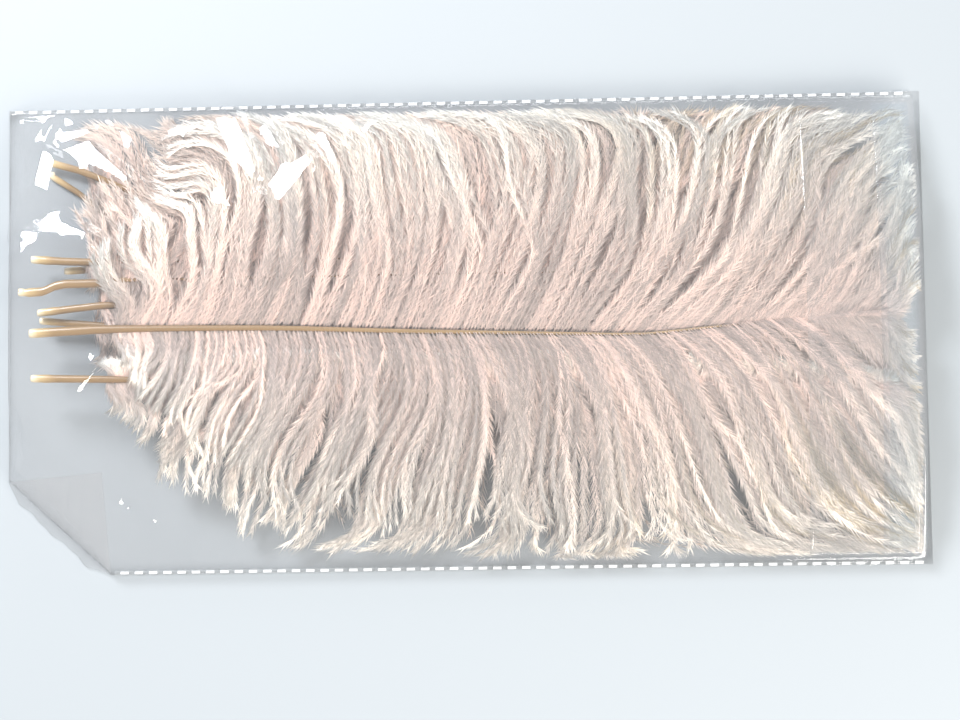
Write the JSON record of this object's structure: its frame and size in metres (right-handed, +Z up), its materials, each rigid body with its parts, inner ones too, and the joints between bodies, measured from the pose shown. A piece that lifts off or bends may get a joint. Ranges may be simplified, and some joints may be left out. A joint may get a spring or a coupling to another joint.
{
  "type": "pack of ostrich plumes",
  "caption": "Flat pack of blush ostrich plumes in a clear welded film bag with a folded-back adhesive flap; the plumes slide out of the open mouth one by one.",
  "frame": {"origin": "middle of the bag's underside, on the surface it lies on", "axes": "+X from the bottom fold to the open mouth, +Y across the bag towards its upper weld, +Z up from the back film"},
  "size_m": [0.308, 0.158, 0.0169],
  "materials": {
    "film": "clear oriented polypropylene film",
    "weld": "whitened heat weld",
    "adhesive": "clear pressure-sensitive adhesive",
    "liner": "translucent release liner",
    "quill": "horny keratin, satin",
    "barbs": "dyed soft down, blush to white at the tips"
  },
  "bodies": {
    "bag": {"back_film": "film", "tucked_corner": "film", "bottom_fold": "film", "weld_upper": "weld", "weld_lower": "weld", "weld_dashes_upper": "weld", "weld_dashes_lower": "weld", "front_film_crown": "film", "front_film_upper_slope": "film", "front_film_lower_slope": "film", "front_film_upper_side": "film", "front_film_lower_side": "film", "end_film_middle": "film", "end_film_upper": "film", "end_film_lower": "film"},
    "flap": {"flap_film": "film", "flap_adhesive": "adhesive", "flap_liner": "liner"},
    "plume_1": {"plume_1_shaft": "quill", "plume_1_vane_upper": "barbs", "plume_1_vane_lower": "barbs"},
    "plume_2": {"plume_2_shaft": "quill", "plume_2_vane_upper": "barbs", "plume_2_vane_lower": "barbs"},
    "plume_3": {"plume_3_shaft": "quill", "plume_3_vane_upper": "barbs", "plume_3_vane_lower": "barbs"},
    "plume_4": {"plume_4_shaft": "quill", "plume_4_vane_upper": "barbs", "plume_4_vane_lower": "barbs"},
    "plume_5": {"plume_5_shaft": "quill", "plume_5_vane_upper": "barbs", "plume_5_vane_lower": "barbs"},
    "plume_6": {"plume_6_shaft": "quill", "plume_6_vane_upper": "barbs", "plume_6_vane_lower": "barbs"},
    "plume_7": {"plume_7_shaft": "quill", "plume_7_vane_upper": "barbs", "plume_7_vane_lower": "barbs"},
    "plume_8": {"plume_8_shaft": "quill", "plume_8_vane_upper": "barbs", "plume_8_vane_lower": "barbs"},
    "plume_9": {"plume_9_shaft": "quill", "plume_9_vane_upper": "barbs", "plume_9_vane_lower": "barbs"}
  },
  "joints": [
    {"name": "flap_hinge", "type": "hinge", "parent": "bag", "child": "flap", "pos_m": [0.151, 0, 0.01663], "axis": [0, 1, 0], "range_deg": [0, 180]},
    {"name": "plume_1_slide", "type": "slide", "parent": "bag", "child": "plume_1", "axis": [1, 0, 0], "range_m": [0, 0.31]},
    {"name": "plume_2_slide", "type": "slide", "parent": "bag", "child": "plume_2", "axis": [1, 0, 0], "range_m": [0, 0.31]},
    {"name": "plume_3_slide", "type": "slide", "parent": "bag", "child": "plume_3", "axis": [1, 0, 0], "range_m": [0, 0.31]},
    {"name": "plume_4_slide", "type": "slide", "parent": "bag", "child": "plume_4", "axis": [1, 0, 0], "range_m": [0, 0.31]},
    {"name": "plume_5_slide", "type": "slide", "parent": "bag", "child": "plume_5", "axis": [1, 0, 0], "range_m": [0, 0.31]},
    {"name": "plume_6_slide", "type": "slide", "parent": "bag", "child": "plume_6", "axis": [1, 0, 0], "range_m": [0, 0.31]},
    {"name": "plume_7_slide", "type": "slide", "parent": "bag", "child": "plume_7", "axis": [1, 0, 0], "range_m": [0, 0.31]},
    {"name": "plume_8_slide", "type": "slide", "parent": "bag", "child": "plume_8", "axis": [1, 0, 0], "range_m": [0, 0.31]},
    {"name": "plume_9_slide", "type": "slide", "parent": "bag", "child": "plume_9", "axis": [1, 0, 0], "range_m": [0, 0.31]}
  ]
}
